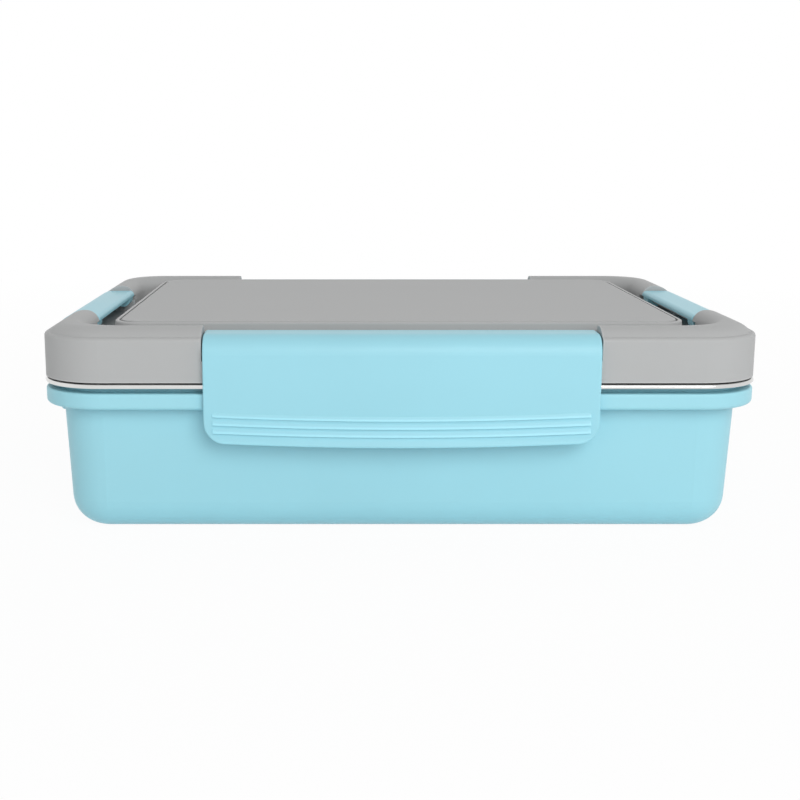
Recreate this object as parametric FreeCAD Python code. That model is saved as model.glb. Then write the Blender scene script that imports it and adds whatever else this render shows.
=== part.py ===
import FreeCAD, Part
import math
import os

# Lunch box: moulded tub, pressed steel tray, moulded lid with a seal, and four snap clips on hinge pins.
# Millimetres, +Z up, origin under the middle of the base, front clip towards -Y.

# Outline shared by the tub's flange, the tray's rim and the lid
WIDTH = 272.0
DEPTH = 201.0
CORNER_R = 24.0

# Tub
TUB_H = 55.6
TUB_WALL = 2.2
TUB_FLOOR = 2.5
TUB_DRAFT_DEG = 2.7
TUB_BASE_R = 12.5
FLANGE_OVERHANG = 6.3
FLANGE_LIP_H = 6.2
FLANGE_EDGE_R = 0.9
FLANGE_FOOT_R = 1.5
SEAT_INSET = 5.0
SEAT_W = 2.2
SEAT_EDGE_R = 0.4
SEAT_GAP = 1.7
BASE_RING_W = 26.0
BASE_RECESS = 1.0

# Tray, pressed from one sheet and rolled at the rim
SHEET = 0.5
BEAD_D = 1.9
BEAD_PROUD = 0.3
BEAD_WRAP_DEG = 285.0
TRAY_RIM_W = 26.0
POCKET_DEPTH = 49.0
POCKET_DRAFT_DEG = 6.0
POCKET_CORNER_R = 14.0
POCKET_FLOOR_R = 7.0
POCKET_MOUTH_R = 3.0
DIVIDER_W = 9.0
FRONT_POCKET_D = 82.0
REAR_POCKETS = 3

# Lid
LID_GAP = 0.55
LID_H = 20.15
LID_WALL = 2.2
BORDER_W = 15.0
BORDER_CORNER_R = 17.0
CROWN_OUTER_R = 9.0
CROWN_INNER_R = 5.5
LEDGE_DROP = 3.4
LEDGE_EDGE_R = 1.5
MOAT_DEPTH = 12.1
MOAT_FLOOR_R = 1.5
MOAT_W_SIDE = 13.0
MOAT_W_FRONT = 8.5
PANEL_DROP = 0.2
PANEL_CORNER_R = 9.0
PANEL_DRAFT = 0.8
PANEL_EDGE_R = 0.5
FRAME_W = 2.4
FRAME_DROP = 0.4
FRAME_EDGE_R = 0.5
GROOVE_W = 1.0
GROOVE_DEPTH = 1.2

# Seal and its channel under the moat
SEAL_W = 4.2
SEAL_LIP_W = 2.2
SEAL_LIP_H = 2.6
SEAL_LIP_FLAT = 0.6
SEAL_BITE = 2.2
SEAL_PLAY = 0.1
SEAL_RIB = 1.6
SEAL_RIB_GAP = 0.6
SEAL_CORNER_R = 15.0

# Clips and their hinges
FRONT_CLIP_W = 146.5
SIDE_CLIP_W = 89.0
CLIP_H = 41.9
CLIP_DROP = 2.2
CLIP_T = 2.3
CLIP_REACH = 15.0
STRIP_EDGE_R = 2.0
CLIP_PLAY = 0.45
CLIP_SIDE_PLAY = 0.6
CLIP_ROLL_R = 7.5
CLIP_LEAN_DEG = 2.0
CLIP_CORNER_R = 8.0
CLIP_EDGE_R = 0.7
CLIP_SAG = 1.8
LIP_FLARE_DEG = 30.0
LIP_H = 6.0
LIP_T = 1.9
HINGE_INSET = 11.0
HINGE_DEPTH = 3.4
KNUCKLE_R = 3.2
KNUCKLE_L = 9.0
PIN_R = 1.25
PIN_SOCKET = 5.0
PIN_PRESS = 0.02
PIN_RUN = 0.06
SOCKET_WALL = 2.0
SOCKET_MOUTH = 2.2
HOOK_REACH = 2.0
HOOK_PLAY = 0.2
HOOK_H = 4.2
HOOK_TIP_R = 0.5
GRIP_RIBS = 3
GRIP_PROUD = 0.9
GRIP_RISE = 2.0
GRIP_UNDERCUT = 0.3
GRIP_PITCH = 3.05
GRIP_FOOT_H = 4.1
GRIP_END = 3.4

# Heights that follow from the stack
TRAY_TOP = TUB_H + SEAT_GAP + BEAD_D
LID_BOTTOM = TRAY_TOP + LID_GAP
BORDER_TOP = LID_BOTTOM + LID_H
MOAT_Z = BORDER_TOP - MOAT_DEPTH
MOAT_UNDER = MOAT_Z - LID_WALL
PANEL_TOP = BORDER_TOP - PANEL_DROP
CLIP_TOP = BORDER_TOP - CLIP_DROP
HINGE_Z = CLIP_TOP - HINGE_DEPTH
FLANGE_UNDER = TUB_H - FLANGE_LIP_H

X_AXIS = FreeCAD.Vector(1, 0, 0)
Y_AXIS = FreeCAD.Vector(0, 1, 0)
Z_AXIS = FreeCAD.Vector(0, 0, 1)


def vec(x, y, z):
    return FreeCAD.Vector(x, y, z)


def rounded_wire(half_x, half_y, radius, z):
    """Rounded rectangle centred on the Z axis."""
    in_x = half_x - radius
    in_y = half_y - radius
    near = radius * math.sqrt(0.5)
    edges = []
    for sx, sy in ((1, -1), (1, 1), (-1, 1), (-1, -1)):
        cx = sx * in_x
        cy = sy * in_y
        along_x = vec(cx + sx * radius, cy, z)
        along_y = vec(cx, cy + sy * radius, z)
        middle = vec(cx + sx * near, cy + sy * near, z)
        start, end = (along_y, along_x) if sx * sy < 0 else (along_x, along_y)
        edges.append(Part.Arc(start, middle, end).toShape())
    ring = []
    for index, arc in enumerate(edges):
        following = edges[(index + 1) % 4]
        ring.append(arc)
        ring.append(Part.makeLine(arc.Vertexes[-1].Point, following.Vertexes[0].Point))
    return Part.Wire(ring)


def inset_wire(inset, z, radius=None):
    """The shared outline drawn in by an inset, with its own corner radius where one is given."""
    corner = CORNER_R - inset if radius is None else radius
    return rounded_wire(WIDTH / 2 - inset, DEPTH / 2 - inset, corner, z)


def prism(wire, height):
    return Part.Face(wire).extrude(vec(0, 0, height))


def ring_prism(outer_wire, inner_wire, height):
    return prism(outer_wire, height).cut(prism(inner_wire, height))


def loft(lower_wire, upper_wire):
    return Part.makeLoft([lower_wire, upper_wire], True, True)


def level_edges(shape, z):
    """Edges that lie wholly at one height."""
    flat = [edge for edge in shape.Edges if edge.BoundBox.ZLength < 1e-6]
    return [edge for edge in flat if abs(edge.BoundBox.ZMin - z) < 1e-6]


def within(edge, inset):
    """True for an edge that stays inside the shared outline's box drawn in by an inset."""
    box = edge.BoundBox
    reach_x = max(abs(box.XMin), abs(box.XMax))
    reach_y = max(abs(box.YMin), abs(box.YMax))
    return reach_x < WIDTH / 2 - inset and reach_y < DEPTH / 2 - inset


def box_between(low, high):
    size = high - low
    return Part.makeBox(size.x, size.y, size.z, low)


def to_side(shape, turns):
    """Turn a shape drawn for the front to another side, in quarter turns about the Z axis."""
    moved = shape.copy()
    moved.rotate(vec(0, 0, 0), Z_AXIS, 90 * turns)
    return moved


# Tub: drafted walls, a rounded base, a flange turned down for the hooks, and a raised seat for the tray
def make_tub():
    draft = math.tan(math.radians(TUB_DRAFT_DEG))
    foot_inset = FLANGE_OVERHANG + draft * TUB_H
    floor_inset = FLANGE_OVERHANG + TUB_WALL + draft * (TUB_H - TUB_FLOOR)
    outside = loft(inset_wire(foot_inset, 0), inset_wire(FLANGE_OVERHANG, TUB_H))
    outside = outside.makeFillet(TUB_BASE_R, level_edges(outside, 0))
    inside = loft(inset_wire(floor_inset, TUB_FLOOR), inset_wire(FLANGE_OVERHANG + TUB_WALL, TUB_H))
    inside = inside.makeFillet(TUB_BASE_R - TUB_WALL, level_edges(inside, TUB_FLOOR))
    flange = prism(inset_wire(0, FLANGE_UNDER), FLANGE_LIP_H)
    flange = flange.makeFillet(FLANGE_FOOT_R, level_edges(flange, FLANGE_UNDER))
    flange = flange.makeFillet(FLANGE_EDGE_R, level_edges(flange, TUB_H))
    hollow = prism(inset_wire(TUB_WALL, FLANGE_UNDER), FLANGE_LIP_H - TUB_WALL)
    seat_z = TRAY_TOP - SHEET
    seat = ring_prism(
        inset_wire(SEAT_INSET, TUB_H - TUB_WALL),
        inset_wire(SEAT_INSET + SEAT_W, TUB_H - TUB_WALL),
        seat_z - TUB_H + TUB_WALL,
    )
    seat = seat.makeFillet(SEAT_EDGE_R, level_edges(seat, seat_z))
    tub = flange.cut(hollow).fuse([outside, seat]).cut(inside)
    recess_inset = foot_inset + BASE_RING_W
    recess = loft(
        inset_wire(recess_inset, 0, CORNER_R / 2),
        inset_wire(recess_inset + BASE_RECESS, BASE_RECESS, CORNER_R / 2),
    )
    return tub.cut(recess).removeSplitter()


# Tray: pockets pressed down from a flat sheet that rests on the tub's seat, with its edge rolled under
def pocket_plan():
    """Centre and half size of each pocket's mouth: one wide pocket in front, a row of small ones behind."""
    half_x = WIDTH / 2 - TRAY_RIM_W
    half_y = DEPTH / 2 - TRAY_RIM_W
    front_y = -half_y + FRONT_POCKET_D / 2
    rear_d = 2 * half_y - FRONT_POCKET_D - DIVIDER_W
    rear_w = (2 * half_x - (REAR_POCKETS - 1) * DIVIDER_W) / REAR_POCKETS
    plan = [(0.0, front_y, half_x, FRONT_POCKET_D / 2)]
    for index in range(REAR_POCKETS):
        x = -half_x + rear_w / 2 + index * (rear_w + DIVIDER_W)
        plan.append((x, half_y - rear_d / 2, rear_w / 2, rear_d / 2))
    return plan


def pressing(grow, top):
    """Pockets below a flat slab: the space inside the sheet, or its outer skin when grown by the sheet."""
    taper = POCKET_DEPTH * math.tan(math.radians(POCKET_DRAFT_DEG))
    floor_z = TRAY_TOP - POCKET_DEPTH - grow
    slab_z = TRAY_TOP - grow
    body = prism(inset_wire(BEAD_D / 2, slab_z), top - slab_z)
    for x, y, half_x, half_y in pocket_plan():
        mouth = rounded_wire(half_x + grow, half_y + grow, POCKET_CORNER_R + grow, slab_z)
        floor_r = POCKET_CORNER_R + grow - taper / 2
        floor = rounded_wire(half_x - taper + grow, half_y - taper + grow, floor_r, floor_z)
        pocket = loft(floor, mouth)
        pocket = pocket.makeFillet(POCKET_FLOOR_R + grow, level_edges(pocket, floor_z))
        pocket.translate(vec(x, y, 0))
        body = body.fuse(pocket)
    mouths = [edge for edge in level_edges(body, slab_z) if within(edge, TRAY_RIM_W / 2)]
    return body.makeFillet(POCKET_MOUTH_R - grow, mouths)


def make_tray():
    sheet = pressing(SHEET, TRAY_TOP).cut(pressing(0.0, TRAY_TOP + BEAD_D))
    roll_r = BEAD_D / 2
    hollow_r = roll_r - SHEET
    path = inset_wire(roll_r - BEAD_PROUD, TRAY_TOP - roll_r)
    centre_y = -DEPTH / 2 + roll_r - BEAD_PROUD
    centre_z = TRAY_TOP - roll_r

    def on_roll(radius, degrees):
        angle = math.radians(degrees)
        return vec(0, centre_y - radius * math.sin(angle), centre_z + radius * math.cos(angle))

    half_wrap = BEAD_WRAP_DEG / 2
    outside = [on_roll(roll_r, degrees) for degrees in (0, half_wrap, BEAD_WRAP_DEG)]
    inside = [on_roll(hollow_r, degrees) for degrees in (BEAD_WRAP_DEG, half_wrap, 0)]
    curl = Part.Wire([
        Part.Arc(*outside).toShape(),
        Part.makeLine(outside[-1], inside[0]),
        Part.Arc(*inside).toShape(),
        Part.makeLine(inside[-1], outside[0]),
    ])
    bead = path.makePipeShell([curl], True, True)
    rim_in = inset_wire(BEAD_D, TRAY_TOP - SHEET)
    rim = ring_prism(inset_wire(roll_r - BEAD_PROUD, TRAY_TOP - SHEET), rim_in, SHEET)
    return sheet.fuse([rim, bead]).removeSplitter()


# Lid: raised border, moat and panel in one wall, with a seal channel below and a notch for each clip
def seal_wire(inset, z):
    """Line round the seal channel; the corner stays wide enough for the ring to bend round it."""
    first = BORDER_W + SEAL_BITE
    return inset_wire(inset, z, SEAL_CORNER_R - (inset - first))


def panel_wire(shrink, z):
    half_x = WIDTH / 2 - BORDER_W - MOAT_W_SIDE - shrink
    half_y = DEPTH / 2 - BORDER_W - MOAT_W_FRONT - shrink
    return rounded_wire(half_x, half_y, PANEL_CORNER_R - shrink, z)


def clip_sides():
    """Name, quarter turns from the front, distance of the lid's wall from the middle, and clip width."""
    return [
        ("front", 0, DEPTH / 2, FRONT_CLIP_W),
        ("right", 1, WIDTH / 2, SIDE_CLIP_W),
        ("rear", 2, DEPTH / 2, FRONT_CLIP_W),
        ("left", 3, WIDTH / 2, SIDE_CLIP_W),
    ]


def lid_skin():
    """The lid's outer form before it is hollowed: wall and ledge, crowned border, moat and framed panel."""
    skin = prism(inset_wire(0, LID_BOTTOM), LID_H)
    skin = skin.makeFillet(CROWN_OUTER_R, level_edges(skin, BORDER_TOP))
    ledge = prism(inset_wire(0, LID_BOTTOM), LID_H - LEDGE_DROP)
    ledge = ledge.makeFillet(LEDGE_EDGE_R, level_edges(ledge, BORDER_TOP - LEDGE_DROP))
    moat = prism(inset_wire(BORDER_W, MOAT_Z, BORDER_CORNER_R), MOAT_DEPTH)
    moat = moat.makeFillet(MOAT_FLOOR_R, level_edges(moat, MOAT_Z))
    skin = skin.fuse(ledge).cut(moat)
    top_edges = level_edges(skin, BORDER_TOP)
    inner_top = [edge for edge in top_edges if within(edge, BORDER_W - CROWN_INNER_R)]
    skin = skin.makeFillet(CROWN_INNER_R, inner_top)
    panel = loft(panel_wire(-PANEL_DRAFT, MOAT_Z), panel_wire(0, PANEL_TOP))
    panel = panel.makeFillet(PANEL_EDGE_R, level_edges(panel, PANEL_TOP))
    frame_top = PANEL_TOP - FRAME_DROP
    frame = loft(panel_wire(-PANEL_DRAFT - FRAME_W, MOAT_Z), panel_wire(-FRAME_W, frame_top))
    frame = frame.makeFillet(FRAME_EDGE_R, level_edges(frame, frame_top))
    groove_z = PANEL_TOP - GROOVE_DEPTH
    groove = ring_prism(panel_wire(-GROOVE_W, groove_z), panel_wire(0, groove_z), GROOVE_DEPTH)
    return skin.fuse([panel, frame]).cut(groove)


def lid_hollow():
    """The space under the lid: inside the border, under the moat and under the panel."""
    start = LID_BOTTOM
    roof = BORDER_TOP - LID_WALL
    moat_in = BORDER_W - LID_WALL
    moat_side = inset_wire(moat_in, start, BORDER_CORNER_R + LID_WALL)
    border = ring_prism(inset_wire(LID_WALL, start), moat_side, roof - start)
    roof_out = [edge for edge in level_edges(border, roof) if not within(edge, CROWN_OUTER_R)]
    border = border.makeFillet(CROWN_OUTER_R - LID_WALL, roof_out)
    roof_in = [edge for edge in level_edges(border, roof) if within(edge, CROWN_OUTER_R + LID_WALL)]
    border = border.makeFillet(CROWN_INNER_R - LID_WALL, roof_in)
    under_moat = prism(moat_side, MOAT_UNDER - start)
    panel_foot = panel_wire(LID_WALL - PANEL_DRAFT, start)
    under_panel = loft(panel_foot, panel_wire(LID_WALL, PANEL_TOP - LID_WALL))
    frame_foot = panel_wire(LID_WALL - PANEL_DRAFT - FRAME_W, start)
    under_frame = loft(frame_foot, panel_wire(LID_WALL - FRAME_W, PANEL_TOP - GROOVE_DEPTH - LID_WALL))
    return under_moat.fuse([border, under_panel, under_frame])


def seal_channel():
    outer = BORDER_W + SEAL_BITE
    inner = outer + SEAL_W + 2 * SEAL_PLAY
    low = TRAY_TOP + SEAL_RIB_GAP
    height = MOAT_Z - LID_WALL / 2 - low
    outer_rib = ring_prism(seal_wire(outer - SEAL_RIB, low), seal_wire(outer, low), height)
    inner_rib = ring_prism(seal_wire(inner, low), seal_wire(inner + SEAL_RIB, low), height)
    return outer_rib, inner_rib


def make_lid():
    skin = lid_skin()
    lid = skin.cut(lid_hollow()).fuse(list(seal_channel()))
    for _, turns, wall, clip_w in clip_sides():
        half_notch = clip_w / 2 + CLIP_SIDE_PLAY
        half_block = half_notch + PIN_SOCKET + SOCKET_WALL
        border_in = -wall + BORDER_W
        block = box_between(
            vec(-half_block, -wall, MOAT_UNDER),
            vec(half_block, border_in, BORDER_TOP),
        )
        notch = box_between(
            vec(-half_notch, -wall - CLIP_T, MOAT_Z),
            vec(half_notch, border_in + MOAT_FLOOR_R, BORDER_TOP),
        )
        hinge_y = -wall + HINGE_INSET
        socket_l = 2 * (half_notch + PIN_SOCKET)
        socket_start = vec(-socket_l / 2, hinge_y, HINGE_Z)
        socket = Part.makeCylinder(PIN_R + PIN_PRESS, socket_l, socket_start, X_AXIS)
        mouth = box_between(
            vec(-socket_l / 2, hinge_y, HINGE_Z - SOCKET_MOUTH / 2),
            vec(socket_l / 2, border_in + MOAT_FLOOR_R, HINGE_Z + SOCKET_MOUTH / 2),
        )
        block = to_side(block, turns).common(skin)
        lid = lid.fuse(block)
        lid = lid.cut([to_side(tool, turns) for tool in (notch, socket, mouth)])
    return lid.removeSplitter()


# Seal: one silicone ring, pushed up into the channel, with a narrower lip that meets the tray's flat rim
def make_seal():
    outer = BORDER_W + SEAL_BITE + SEAL_PLAY
    inner = outer + SEAL_W
    shoulder_z = TRAY_TOP + SEAL_LIP_H
    body = ring_prism(seal_wire(outer, shoulder_z), seal_wire(inner, shoulder_z), MOAT_UNDER - shoulder_z)
    side = (SEAL_W - SEAL_LIP_W) / 2
    lip = ring_prism(seal_wire(outer + side, TRAY_TOP), seal_wire(inner - side, TRAY_TOP), SEAL_LIP_H)
    lip = lip.makeFillet((SEAL_LIP_W - SEAL_LIP_FLAT) / 2, level_edges(lip, TRAY_TOP))
    return body.fuse(lip).removeSplitter()


# Clips: drawn for the front as a section swept along X, then trimmed to the curved outline
def tangent_arc(start, heading, radius, turn):
    """Arc that leaves a point along a heading; gives its middle, its end and the heading it ends with."""
    side = math.copysign(radius, turn)
    centre_out = start[0] - side * math.sin(heading)
    centre_z = start[1] + side * math.cos(heading)

    def after(part):
        angle = heading + part * turn
        return centre_out + side * math.sin(angle), centre_z - side * math.cos(angle)

    return after(0.5), after(1.0), heading + turn


def clip_face():
    """Points along the visible face, as out and height: top, roll, long bowed plate and flared lip."""
    lean = math.radians(CLIP_LEAN_DEG)
    flare = math.radians(LIP_FLARE_DEG)
    outer = BEAD_PROUD + CLIP_PLAY + CLIP_T
    lip_z = CLIP_TOP - CLIP_H + LIP_H
    plate_h = CLIP_TOP - CLIP_ROLL_R * (1 - math.sin(lean)) - lip_z
    plate_r = plate_h / (2 * math.sin(lean))
    lip_r = (LIP_H + CLIP_SAG) / (math.sin(lean) + math.sin(flare))
    roll_out = outer - CLIP_ROLL_R * math.cos(lean) - plate_r * (1 - math.cos(lean))
    points = [(roll_out, CLIP_TOP)]
    heading = 0.0
    bends = ((CLIP_ROLL_R, lean - math.pi / 2), (plate_r, -2 * lean), (lip_r, lean + flare))
    for radius, turn in bends:
        middle, end, heading = tangent_arc(points[-1], heading, radius, turn)
        points += [middle, end]
    return points


def clip_section(wall):
    """Section of the plate and hook; it runs past the lower edge, which the outline then trims."""
    inner = BEAD_PROUD + CLIP_PLAY
    under = CLIP_TOP - CLIP_T
    inner_roll = CLIP_ROLL_R - CLIP_T
    reach = math.hypot(HINGE_INSET, HINGE_Z - FLANGE_UNDER) + HOOK_PLAY

    def at(point):
        return vec(0, -wall - point[0], point[1])

    def line(start, end):
        return Part.makeLine(at(start), at(end))

    def arc(start, middle, end):
        return Part.Arc(at(start), at(middle), at(end)).toShape()

    def hook(out):
        return out, HINGE_Z - math.sqrt(reach ** 2 - (HINGE_INSET + out) ** 2)

    face = clip_face()
    rear_top = (STRIP_EDGE_R - CLIP_REACH, CLIP_TOP)
    rear_mid, rear_side, _ = tangent_arc(rear_top, math.pi, STRIP_EDGE_R, math.pi / 2)
    rear_under = (-CLIP_REACH, under)
    lip_in = (face[-1][0] - LIP_T, face[-1][1])
    tip = hook(-HOOK_REACH)
    nose = (tip[0] - HOOK_TIP_R, tip[1] - HOOK_TIP_R)
    tip_low = (tip[0], tip[1] - 2 * HOOK_TIP_R)
    hook_foot = (inner, tip[1] - HOOK_H)
    hook_root = hook(inner)
    roll_low = (inner, under - inner_roll)
    roll_in = (inner - inner_roll, under)
    roll_mid, _, _ = tangent_arc(roll_low, math.pi / 2, inner_roll, math.pi / 2)
    return Part.Wire([
        line(rear_top, face[0]),
        arc(face[0], face[1], face[2]),
        arc(face[2], face[3], face[4]),
        arc(face[4], face[5], face[6]),
        line(face[6], lip_in),
        line(lip_in, hook_foot),
        line(hook_foot, tip_low),
        arc(tip_low, nose, tip),
        arc(tip, hook((tip[0] + inner) / 2), hook_root),
        line(hook_root, roll_low),
        arc(roll_low, roll_mid, roll_in),
        line(roll_in, rear_under),
        line(rear_under, rear_side),
        arc(rear_side, rear_mid, rear_top),
    ])


def clip_outline(wall, clip_w):
    """Block with the clip's front view: a bowed lower edge and rounded lower corners."""
    half = clip_w / 2
    low = CLIP_TOP - CLIP_H
    side_low = low + CLIP_SAG
    high = CLIP_TOP + CLIP_T
    y = -wall - 2 * CLIP_ROLL_R
    sweep = 2 * CLIP_ROLL_R + CLIP_REACH + CLIP_T
    wire = Part.Wire([
        Part.Arc(vec(-half, y, side_low), vec(0, y, low), vec(half, y, side_low)).toShape(),
        Part.makeLine(vec(half, y, side_low), vec(half, y, high)),
        Part.makeLine(vec(half, y, high), vec(-half, y, high)),
        Part.makeLine(vec(-half, y, high), vec(-half, y, side_low)),
    ])
    block = Part.Face(wire).extrude(vec(0, sweep, 0))
    corners = [edge for edge in block.Edges if is_lower_corner(edge, side_low)]
    return block.makeFillet(CLIP_CORNER_R, corners)


def is_lower_corner(edge, side_low):
    box = edge.BoundBox
    return box.XLength < 1e-6 and box.ZLength < 1e-6 and abs(box.ZMin - side_low) < 1e-6


def grip_ribs(wall, clip_w):
    """Saw-tooth ribs that follow the bow of the lower edge: a long ramp above, a sharp return below."""
    half = clip_w / 2
    bow_r = (half ** 2 + CLIP_SAG ** 2) / (2 * CLIP_SAG)
    reach = math.degrees(math.asin((half - GRIP_END) / bow_r))
    face_y = -wall - clip_face()[4][0]
    sunk_y = face_y + CLIP_T / 2
    full_depth = 1 + CLIP_T / 2 / GRIP_PROUD
    ribs = []
    for index in range(GRIP_RIBS):
        z = CLIP_TOP - CLIP_H + GRIP_FOOT_H + index * GRIP_PITCH
        bow_centre = vec(0, face_y, z + bow_r)
        tip = vec(0, face_y - GRIP_PROUD, z)
        ramp_end = vec(0, sunk_y, z + GRIP_RISE * full_depth)
        return_end = vec(0, sunk_y, z + GRIP_UNDERCUT * full_depth)
        profile = Part.Face(Part.makePolygon([tip, ramp_end, return_end, tip]))
        profile.rotate(bow_centre, Y_AXIS, reach)
        ribs.append(profile.revolve(bow_centre, Y_AXIS, -2 * reach))
    return ribs


def knuckle(wall, x):
    """Short barrel under the strip that turns on the pin, joined to the strip by a web."""
    hinge_y = -wall + HINGE_INSET
    barrel = Part.makeCylinder(KNUCKLE_R, KNUCKLE_L, vec(x, hinge_y, HINGE_Z), X_AXIS)
    web = box_between(
        vec(x, hinge_y - KNUCKLE_R, HINGE_Z),
        vec(x + KNUCKLE_L, hinge_y + KNUCKLE_R, CLIP_TOP - CLIP_T / 2),
    )
    return barrel.fuse(web)


def make_clip(wall, clip_w):
    half = clip_w / 2
    plate = Part.Face(clip_section(wall)).extrude(vec(clip_w, 0, 0))
    plate.translate(vec(-half, 0, 0))
    plate = plate.common(clip_outline(wall, clip_w))
    side_y = -wall - clip_face()[3][0]
    upright = [edge for edge in plate.Edges if edge.BoundBox.XLength < 1e-6]
    outer_edges = [edge for edge in upright if abs(edge.BoundBox.YMin - side_y) < 1e-3]
    clip = plate.makeFillet(CLIP_EDGE_R, outer_edges)
    for x in (-half, half - KNUCKLE_L):
        clip = clip.fuse(knuckle(wall, x))
    for rib in grip_ribs(wall, clip_w):
        clip = clip.fuse(rib)
    bore = Part.makeCylinder(PIN_R + PIN_RUN, clip_w, vec(-half, -wall + HINGE_INSET, HINGE_Z), X_AXIS)
    return clip.cut(bore).removeSplitter()


# Hinge pins: plain rod, pushed into the lid's sockets from the moat side
def make_pin(wall, clip_w):
    length = clip_w + 2 * (CLIP_SIDE_PLAY + PIN_SOCKET)
    pin = Part.makeCylinder(PIN_R, length, vec(-length / 2, -wall + HINGE_INSET, HINGE_Z), X_AXIS)
    return pin.makeChamfer(PIN_R / 5, [edge for edge in pin.Edges if edge.BoundBox.XLength < 1e-6])


nodes = {
    "outer_shell": make_tub(),
    "food_tray": make_tray(),
    "lid": make_lid(),
    "lid_seal": make_seal(),
}
for side, turns, wall, clip_w in clip_sides():
    nodes[side + "_clip"] = to_side(make_clip(wall, clip_w), turns)
    nodes[side + "_hinge_pin"] = to_side(make_pin(wall, clip_w), turns)

os.makedirs("parts", exist_ok=True)
for name, shape in nodes.items():
    shape.exportStep("parts/" + name + ".step")
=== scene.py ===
import bpy
import math
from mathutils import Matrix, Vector

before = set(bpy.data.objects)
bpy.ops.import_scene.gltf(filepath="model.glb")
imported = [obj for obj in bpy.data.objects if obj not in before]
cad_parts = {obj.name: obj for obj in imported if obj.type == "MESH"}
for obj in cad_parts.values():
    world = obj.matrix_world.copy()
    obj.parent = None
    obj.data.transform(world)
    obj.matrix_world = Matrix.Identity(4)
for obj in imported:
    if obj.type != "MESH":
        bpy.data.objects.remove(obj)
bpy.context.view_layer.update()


# Tub: one injection moulding in light-blue polypropylene, drafted to leave its mould, with a
# turned-down flange for the clips to hook under and a raised seat for the tray. The mould is
# spark-eroded very finely, so the walls come out satin rather than glossy.
class Socket:
    """A shader value; arithmetic on it adds the Math nodes."""

    def __init__(self, graph, link):
        self.graph = graph
        self.link = link

    def math(self, operation, *values):
        return self.graph.node("Math", {"operation": operation}, dict(enumerate(values)))

    def __add__(self, other):
        return self.math("ADD", self, other)

    def __sub__(self, other):
        return self.math("SUBTRACT", self, other)

    def __rsub__(self, other):
        return self.math("SUBTRACT", other, self)

    def __mul__(self, other):
        return self.math("MULTIPLY", self, other)

    def __or__(self, other):
        return self.math("MAXIMUM", self, other)

    __radd__ = __add__
    __rmul__ = __mul__


class Graph:
    """A node tree, for a material or for the world."""

    def __init__(self, tree):
        self.tree = tree

    def node(self, kind, settings, sockets, output=0):
        made = self.tree.nodes.new("ShaderNode" + kind)
        for name, value in settings.items():
            setattr(made, name, value)
        for name, value in sockets.items():
            self.feed(made.inputs[name], value)
        return Socket(self, made.outputs[output])

    def feed(self, socket, value):
        if isinstance(value, Socket):
            self.tree.links.new(value.link, socket)
        else:
            socket.default_value = value

    def ramp(self, value, low, high, start=0.0, end=1.0):
        spans = {"Value": value, "From Min": low, "From Max": high, "To Min": start, "To Max": end}
        return self.node("MapRange", {"clamp": True}, spans)

    def seen_directly(self):
        """1 for what the camera sees straight, in a reflection or through something clear, 0 for light."""
        kinds = ("Is Camera Ray", "Is Glossy Ray", "Is Transmission Ray")
        camera, glossy, clear = [self.node("LightPath", {}, {}, kind) for kind in kinds]
        return camera | glossy | clear


class Finish(Graph):
    """One procedural material: uniform values go straight on the shader, varying ones come from nodes."""

    def __init__(self, name, uniform):
        self.material = bpy.data.materials.new(name)
        self.material.use_nodes = True
        super().__init__(self.material.node_tree)
        self.shader = self.tree.nodes["Principled BSDF"]
        for socket, value in uniform.items():
            self.shader.inputs[socket].default_value = value

    def vary(self, socket, value):
        self.feed(self.shader.inputs[socket], value)

    def noise(self, per_metre, detail=2.0, stretch=(1, 1, 1)):
        """Noise fixed to the object, stretched where the grain runs one way."""
        spot = self.node("TexCoord", {}, {}, "Object")
        place = self.node("Mapping", {}, {"Vector": spot, "Scale": stretch})
        return self.node("TexNoise", {}, {"Vector": place, "Scale": per_metre, "Detail": detail}, "Fac")

    def mix(self, amount, first, second):
        """Blend of two colours; the sockets go by number because each name is used for every data type."""
        colours = {0: amount, 6: first, 7: second}
        return self.node("Mix", {"data_type": "RGBA"}, colours, 2)

    def hollows(self, reach, low, high, inside=False):
        """Mask of creases narrower than the reach, or of outer edges when the inside is asked for.

        It starts where the low share of the view around is shut in, and is full at the high share.
        """
        settings = {"samples": 8, "inside": inside, "only_local": True}
        open_share = self.node("AmbientOcclusion", settings, {"Distance": reach}, "AO")
        return self.ramp(1 - open_share, low, high)

    def bump(self, height, depth):
        self.vary("Normal", self.node("Bump", {}, {"Height": height, "Distance": depth, "Strength": 1.0}))

    def coat(self, node):
        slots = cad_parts[node].data.materials
        slots.clear()
        slots.append(self.material)


def tinted(red, green, blue, gain=1.0):
    """Linear colour from eight-bit screen values."""
    steps = [c / 255 for c in (red, green, blue)]
    linear = [s / 12.92 if s <= 0.04045 else ((s + 0.055) / 1.055) ** 2.4 for s in steps]
    return tuple(min(1.0, c * gain) for c in linear) + (1.0,)


EDGE_REACH = 0.0012
FLOW_GAIN = 0.97
EDGE_HIGHLIGHT_GAIN = 1.15
CREASE_SHADE_GAIN = 0.6


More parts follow.
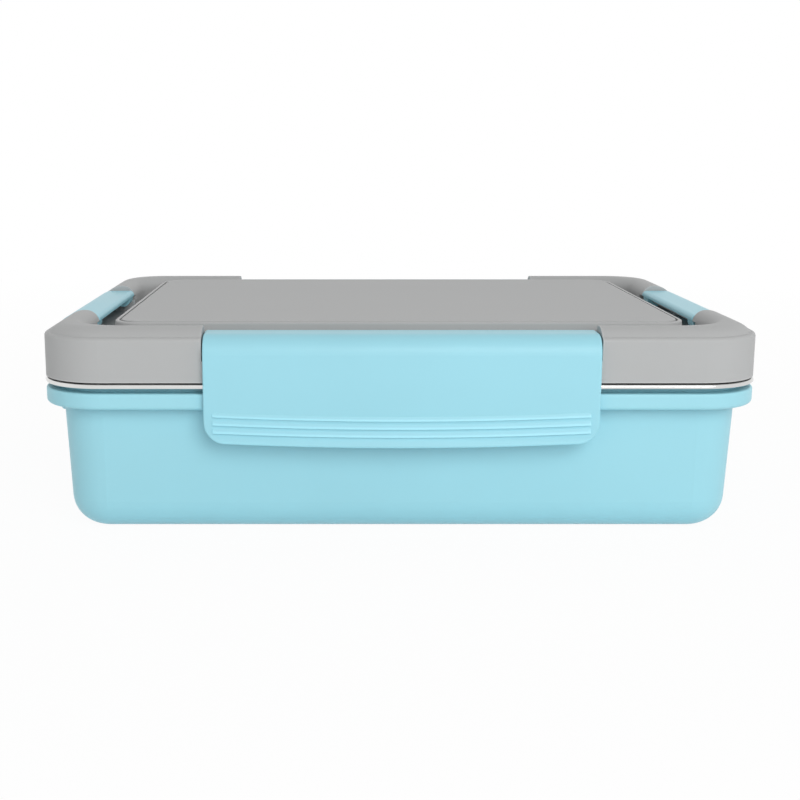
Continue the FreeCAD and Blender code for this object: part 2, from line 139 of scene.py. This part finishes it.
def moulded(name, colour, roughness, grain, specular):
    """Polypropylene from a spark-eroded mould: flow shading, fine grain, painted highlight on outer edges
    and painted shade in creases.
    """
    finish = Finish(name, {"IOR": 1.49, "Specular IOR Level": specular})
    flow = finish.noise(per_metre=14, detail=3)
    spark = finish.noise(per_metre=2600)
    # Painted highlight: outer edges and rib tips are lightened in colour where light would catch them.
    edge_highlight = finish.hollows(EDGE_REACH, low=0.12, high=0.5, inside=True)
    # Painted shade: narrow creases and hollows are darkened in colour where shade would fall.
    crease_shade = finish.hollows(EDGE_REACH, low=0.35, high=0.75)
    shade = finish.mix(finish.ramp(flow, 0.35, 0.65), tinted(*colour, gain=FLOW_GAIN), tinted(*colour))
    shade = finish.mix(edge_highlight * 0.9, shade, tinted(*colour, gain=EDGE_HIGHLIGHT_GAIN))
    finish.vary("Base Color", finish.mix(crease_shade * 0.75, shade, tinted(*colour, gain=CREASE_SHADE_GAIN)))
    finish.vary("Roughness", roughness + (flow - 0.5) * 0.10 + (spark - 0.5) * 0.08 - edge_highlight * 0.05)
    finish.bump(spark, grain)
    return finish


TUB_BLUE = (161, 219, 232)
shell = moulded("tub_polypropylene", TUB_BLUE, roughness=0.42, grain=0.000012, specular=0.4)
shell.coat("outer_shell")


# Food tray: one stainless sheet, pressed into four pockets and rolled under at the rim, resting on
# the tub's seat. Pressing leaves it bright, with faint draw lines down the walls.
steel = Finish("tray_stainless", {"Metallic": 1.0})
draw = steel.noise(per_metre=260, detail=3, stretch=(1.0, 1.0, 0.06))
haze = steel.noise(per_metre=30)
STEEL_DULL = tinted(208, 208, 207)
STEEL_BRIGHT = tinted(224, 224, 223)
steel.vary("Base Color", steel.mix(steel.ramp(haze, 0.3, 0.7), STEEL_DULL, STEEL_BRIGHT))
steel.vary("Roughness", 0.09 + draw * 0.08 + haze * 0.05)
steel.bump(draw, 0.000008)
steel.coat("food_tray")


# Seal: a ring of translucent white silicone, pushed up into the channel under the lid's moat.
# It is left as it comes from its mould, matt with a slight bloom.
GLOW_DEPTH = 0.003
MILKY = {"IOR": 1.41, "Subsurface Weight": 0.2, "Subsurface Radius": (GLOW_DEPTH,) * 3}
silicone = Finish("seal_silicone", MILKY)
bloom = silicone.noise(per_metre=90, detail=3)
silicone.vary("Base Color", silicone.mix(bloom, tinted(222, 224, 222), tinted(236, 237, 235)))
silicone.vary("Roughness", 0.5 + bloom * 0.2)
silicone.bump(silicone.noise(per_metre=1800), 0.00001)
silicone.coat("lid_seal")


# Lid: a grey polypropylene moulding with a bevelled border, a moat and a raised middle panel, cut
# away on each side for a clip. It has the same fine mould texture as the tub.
LID_GREY = (182, 183, 183)
cover = moulded("lid_polypropylene", LID_GREY, roughness=0.5, grain=0.000012, specular=0.15)
cover.coat("lid")


# Hinge pins: drawn stainless rod, cut to length and snapped into the sockets in the lid's border.
# Drawing leaves fine scratches along each rod.
def drawn_rod(name, stretch):
    """Stainless rod, scratched along the way that it was drawn."""
    rod = Finish(name, {"Metallic": 1.0})
    scratch = rod.noise(per_metre=2500, detail=3, stretch=stretch)
    rod.vary("Base Color", rod.mix(scratch, tinted(176, 176, 176), tinted(206, 206, 206)))
    rod.vary("Roughness", 0.22 + scratch * 0.16)
    rod.bump(scratch, 0.000006)
    return rod


ALONG_ROD = 0.04
long_rod = drawn_rod("long_pin_stainless", (ALONG_ROD, 1.0, 1.0))
short_rod = drawn_rod("short_pin_stainless", (1.0, ALONG_ROD, 1.0))
for rod, sides in ((long_rod, ("front", "rear")), (short_rod, ("left", "right"))):
    for side in sides:
        rod.coat(side + "_hinge_pin")


# Clips: light-blue polypropylene snaps, each turning on its pin, with a hook inside that catches
# under the flange and three grip ribs above the lip. Their mould is polished a little more.
CLIP_BLUE = (161, 219, 233)
snap = moulded("clip_polypropylene", CLIP_BLUE, roughness=0.34, grain=0.000008, specular=0.24)
for side in ("front", "rear", "left", "right"):
    snap.coat(side + "_clip")


# Studio: a white paper floor in a light tent that is dimmer overhead and brighter behind, with one
# large soft lamp in front, above the camera and to the right.
LAMP_AIM = Vector((0, 0, 0.04))


def lamp(name, place, size, watts):
    light = bpy.data.lights.new(name, "AREA")
    light.shape = "SQUARE"
    light.size = size
    light.energy = watts
    holder = bpy.data.objects.new(name, light)
    holder.location = place
    holder.rotation_euler = (LAMP_AIM - holder.location).to_track_quat("-Z", "Y").to_euler()
    bpy.context.scene.collection.objects.link(holder)


lamp("front_softbox", (0.40, -1.28, 0.70), size=0.9, watts=10.5)

FLOOR_HALF = 30.0
FLOOR_GAP = 0.0002
FLOOR_NEAR = 0.25
FLOOR_FAR = 0.9
GLOW_NEAR = 0.95
ends = (-FLOOR_HALF, FLOOR_HALF)
floor_mesh = bpy.data.meshes.new("floor")
floor_mesh.from_pydata([(x, y, 0) for x in ends for y in ends], [], [(0, 2, 3, 1)])
floor = bpy.data.objects.new("floor", floor_mesh)
floor.location.z = -FLOOR_GAP
bpy.context.scene.collection.objects.link(floor)
paper = Finish("floor_paper", {"Base Color": (0.95, 0.95, 0.95, 1), "Roughness": 0.9})
spot = paper.node("NewGeometry", {}, {}, "Position")
away = paper.node("VectorMath", {"operation": "LENGTH"}, {0: spot}, "Value")
glow = paper.node("Emission", {}, {"Color": (1, 1, 1, 1), "Strength": 1.0})
share = paper.seen_directly() * paper.ramp(away, FLOOR_NEAR, FLOOR_FAR, GLOW_NEAR, 1.0)
sheet = paper.node("MixShader", {}, {0: share, 1: Socket(paper, paper.shader.outputs[0]), 2: glow})
paper.feed(paper.tree.nodes["Material Output"].inputs["Surface"], sheet)
floor.data.materials.append(paper.material)

TENT_SIDES = 0.58
TENT_TOP = 0.35
TENT_BACK = 0.5
world = bpy.data.worlds.new("studio")
world.use_nodes = True
bpy.context.scene.world = world
sky = Graph(world.node_tree)
backdrop = sky.tree.nodes["Background"]
backdrop.inputs["Color"].default_value = (1, 1, 1, 1)
heading = sky.node("TexCoord", {}, {}, "Generated")
height = sky.node("SeparateXYZ", {}, {0: heading}, "Z")
behind = sky.node("SeparateXYZ", {}, {0: heading}, "Y")
tent = sky.ramp(height, 0, 1, TENT_SIDES, TENT_TOP) + sky.ramp(behind, 0, 1, 0.0, TENT_BACK)
seen = sky.seen_directly()
sky.feed(backdrop.inputs["Strength"], seen + (1 - seen) * tent)


# Camera: a short telephoto just above the lid's height, a little left of the middle. It looks
# slightly down, with the frame shifted so that the box stays centred.
PITCH_DEG = 11.28
camera = bpy.data.cameras.new("camera")
camera.sensor_width = 36.0
camera.lens = 58.05
camera.shift_x = 0.0724
eye = bpy.data.objects.new("camera", camera)
eye.location = (-0.022, -0.5685, 0.1468)
eye.rotation_euler = (math.radians(90 - PITCH_DEG), 0, 0)
bpy.context.scene.collection.objects.link(eye)
bpy.context.scene.camera = eye
bpy.context.scene.view_settings.view_transform = "Standard"
